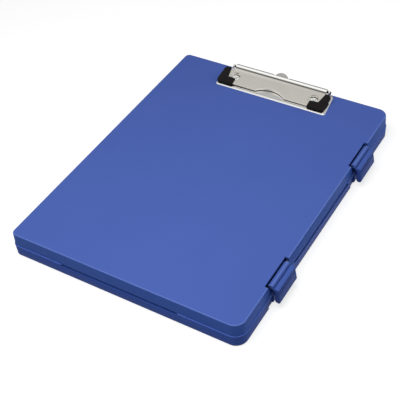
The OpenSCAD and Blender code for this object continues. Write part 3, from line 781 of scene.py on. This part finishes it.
def rivet(side):
    """A tubular rivet whose end is split and rolled into four petals."""
    x = FLAP_MIDDLE + side * STAR_OUT
    only()
    bpy.ops.mesh.primitive_torus_add(location=(x * MM, STAR_Y * MM, RING_Z * MM),
                                     major_radius=RING_RADIUS * MM,
                                     minor_radius=RING_TUBE * MM,
                                     major_segments=48, minor_segments=20)
    ring = settled()
    for turn in range(4):
        angle = math.radians(SLOT_TURN + 90 * turn)
        slot = block((x + SLOT_START, STAR_Y - SLOT_HALF, SLOT_LOW),
                     (x + SLOT_END, STAR_Y + SLOT_HALF, SLOT_HIGH))
        shape(slot, choose_all,
              lambda: bpy.ops.transform.rotate(value=angle, orient_axis="Z",
                                               center_override=(x * MM, STAR_Y * MM, 0)))
        cut(ring, slot)
    flange = round_bar((x, STAR_Y, FLANGE_Z), FLANGE_RADIUS, FLANGE_HEIGHT, sides=40)
    round_off(flange, width=0.4)
    hole = (FLAP_MIDDLE + side * RIVET_OUT, RIVET_Y)
    shank = round_bar((*hole, SHANK_Z), SHANK_RADIUS, SHANK_LENGTH, sides=32)
    foot = round_bar((*hole, RIVET_FOOT_Z), RIVET_FOOT_RADIUS, RIVET_FOOT_HEIGHT, sides=32)
    round_off(foot, width=0.25)
    return join(ring, flange, shank, foot)


# The tab: its tilt, its rounded end, whose middle lies before the rod, and its root
TAB_TILT = math.radians(45)
TAB_RADIUS, TAB_BACK, TAB_ROOT = 9.2, 2.7, 1.9
KNUCKLE_RADIUS, KNUCKLE_LENGTH, KNUCKLE_BORE = 2.2, 15, 1.4


def hanging_tab():
    """The round-ended tab that turns on the rod, in the roll's middle."""
    rod = (0, ROD_Y, ROD_Z)
    out = (0, math.cos(TAB_TILT), math.sin(TAB_TILT))
    middle = [at - TAB_BACK * way for at, way in zip(rod, out)]
    root = [(at + TAB_ROOT * way) * MM for at, way in zip(rod, out)]
    tab = round_bar(middle, TAB_RADIUS, SHEET, (TAB_TILT, 0, 0), sides=72)
    shape(tab, choose_all,
          lambda: bpy.ops.mesh.bisect(plane_co=root, plane_no=out, clear_inner=True,
                                      use_fill=True))
    round_off(tab, width=0.2)
    knuckle = round_bar(rod, KNUCKLE_RADIUS, KNUCKLE_LENGTH, ALONG_X)
    cut(knuckle, round_bar(rod, KNUCKLE_BORE, CUTTER_LENGTH, ALONG_X))
    return join(tab, knuckle)


dress(base_plate(), "clip_plate", bright_nickel, "lid", "nickel_plate", "clip_base_plate")
dress(flap(), "clip_flap_sheet", flap_nickel, "clip_jaw", "nickel_plate", "clip_flap",
      smooth=12)
for side, place in ((-1, "left"), (1, "right")):
    dress(rivet(side), f"star_rivet_{place}", bright_nickel, "lid", "nickel_plate",
          f"rivet_{place}")
    grip = round_off(merged_copy(f"clip_grip_{place}"), width=0.35, sharper_than=FOLDED)
    dress(grip, f"grip_{place}", rubber, "clip_jaw", "grip_rubber", f"clip_grip_{place}")

dress(hanging_tab(), "hanging_tab_plate", shaded_tab_nickel, "tab", "nickel_plate", "hanging_tab")
rod = round_off(merged_copy("clip_hinge_rod"), width=0.3, segments=2, sharper_than=50)
dress(rod, "clip_rod", shadow_dark_steel, "lid", "nickel_plate", "clip_hinge_rod")

# The solids that are shown as they are
FINISHES = {
    nickel: ("rivet_washer_left", "rivet_washer_right"),
    shadow_dark_steel: ("latch_pin_front", "latch_pin_rear"),
    steel: ("hinge_pin_front", "hinge_pin_rear", "clip_spring_left", "clip_spring_right"),
}
for material, names in FINISHES.items():
    for name in names:
        mesh = nodes[name].data
        mesh.materials.clear()
        mesh.materials.append(material)


# ---------------------------------------------------------------- studio

FLOOR_SIZE = 8
FLOOR_GLOW = (0.7, 0.7, 0.7, 1)
WHITE, BLACK = (1, 1, 1, 1), (0, 0, 0, 1)

# The parts of the room that the metal reflects: the way to each, the angles in degrees at which
# it fades out and is whole, and its grey
WALLS = [
    ((-0.36, 0.86, 0.36), 46, 30, 0.5),
    ((-0.37, 0.92, 0.1), 35, 15, 0.3),
    ((-0.2, -0.98, 0.05), 45, 25, 0.4),
]
CAMERA_PLACE = (0.363935, -0.53528, 0.607875)
CAMERA_TURN = (45.9998, 3.9246, 30.3547)
CAMERA_LENS, CAMERA_SENSOR, CAMERA_SHIFT = 81.690, 36, -0.03315


def add_floor():
    """A pale floor that glows for the camera and reflections, and still takes shadows."""
    only()
    bpy.ops.mesh.primitive_plane_add(size=FLOOR_SIZE, location=(0, 0, 0))
    floor = bpy.context.object
    floor.name = "floor"
    finish = Finish("pale_floor", Roughness=0.9, Specular_IOR_Level=0.0)
    rays = finish.node("ShaderNodeLightPath")
    seen = rays.value.node.outputs
    cloud = finish.noise(scale=3, detail=2, roughness=0.5)
    finish.set("Base Color", finish.mix(cloud, paint(166, 166, 166), paint(170, 170, 170)))
    shown = (Socket(finish, seen["Is Camera Ray"]) + Socket(finish, seen["Is Glossy Ray"])
             + Socket(finish, seen["Is Transmission Ray"])).clamped()
    finish.set("Emission Color", finish.mix(shown, BLACK, FLOOR_GLOW))
    finish.shader.inputs["Emission Strength"].default_value = 1.0
    floor.data.materials.append(finish.material)


def add_lamp(name, place, target, size, power):
    """A soft box that looks at a target, and isn't seen in the metal."""
    light = bpy.data.lights.new(name, "AREA")
    light.shape = "RECTANGLE"
    light.size, light.size_y = size
    light.energy = power
    lamp = bpy.data.objects.new(name, light)
    bpy.context.scene.collection.objects.link(lamp)
    lamp.visible_glossy = False
    lamp.location = place
    lamp.rotation_euler = (Vector(target) - Vector(place)).to_track_quat("-Z", "Y").to_euler()


def add_world(daylight):
    """A white room with grey walls that the camera doesn't see.

    Its strength is 1 where it is seen or reflected, and daylight where it lights a surface.
    """
    world = bpy.data.worlds.new("studio")
    bpy.context.scene.world = world
    room = Recipe(world)
    way = room.node("ShaderNodeTexCoord", out="Generated")

    def wall(direction, wide, narrow):
        towards = room.node("ShaderNodeVectorMath", {"operation": "DOT_PRODUCT"},
                            {0: way, 1: direction}, out=1)
        return room.fade(towards, math.cos(math.radians(wide)), math.cos(math.radians(narrow)))

    rays = room.node("ShaderNodeLightPath")
    camera, glossy, clear = (Socket(room, rays.value.node.outputs[ray]) for ray in
                             ("Is Camera Ray", "Is Glossy Ray", "Is Transmission Ray"))
    shade = WHITE
    for direction, wide, narrow, grey in WALLS:
        shade = room.mix(wall(direction, wide, narrow), shade, (grey, grey, grey, 1))
    background = room.tree.nodes["Background"]
    room.feed(background.inputs["Color"], room.mix(camera, shade, WHITE))
    shown = (camera + glossy + clear).clamped()
    room.feed(background.inputs["Strength"], daylight + shown * (1 - daylight))


def add_camera():
    """The camera, high before the case on its latches' side."""
    data = bpy.data.cameras.new("camera")
    data.lens = CAMERA_LENS
    data.sensor_width = CAMERA_SENSOR
    data.shift_x = CAMERA_SHIFT
    camera = bpy.data.objects.new("camera", data)
    bpy.context.scene.collection.objects.link(camera)
    camera.location = CAMERA_PLACE
    camera.rotation_euler = [math.radians(turn) for turn in CAMERA_TURN]
    bpy.context.scene.camera = camera


add_floor()
add_world(daylight=0.35)
add_lamp("overhead", place=(-0.01, -0.22, 0.6), target=(0, -0.06, 0), size=(0.5, 0.5), power=3.6)
add_lamp("side", place=(0.75, 0.75, 0.4), target=(0, 0.1, 0), size=(0.5, 0.5), power=3)
add_camera()
bpy.context.scene.view_settings.view_transform = "Standard"
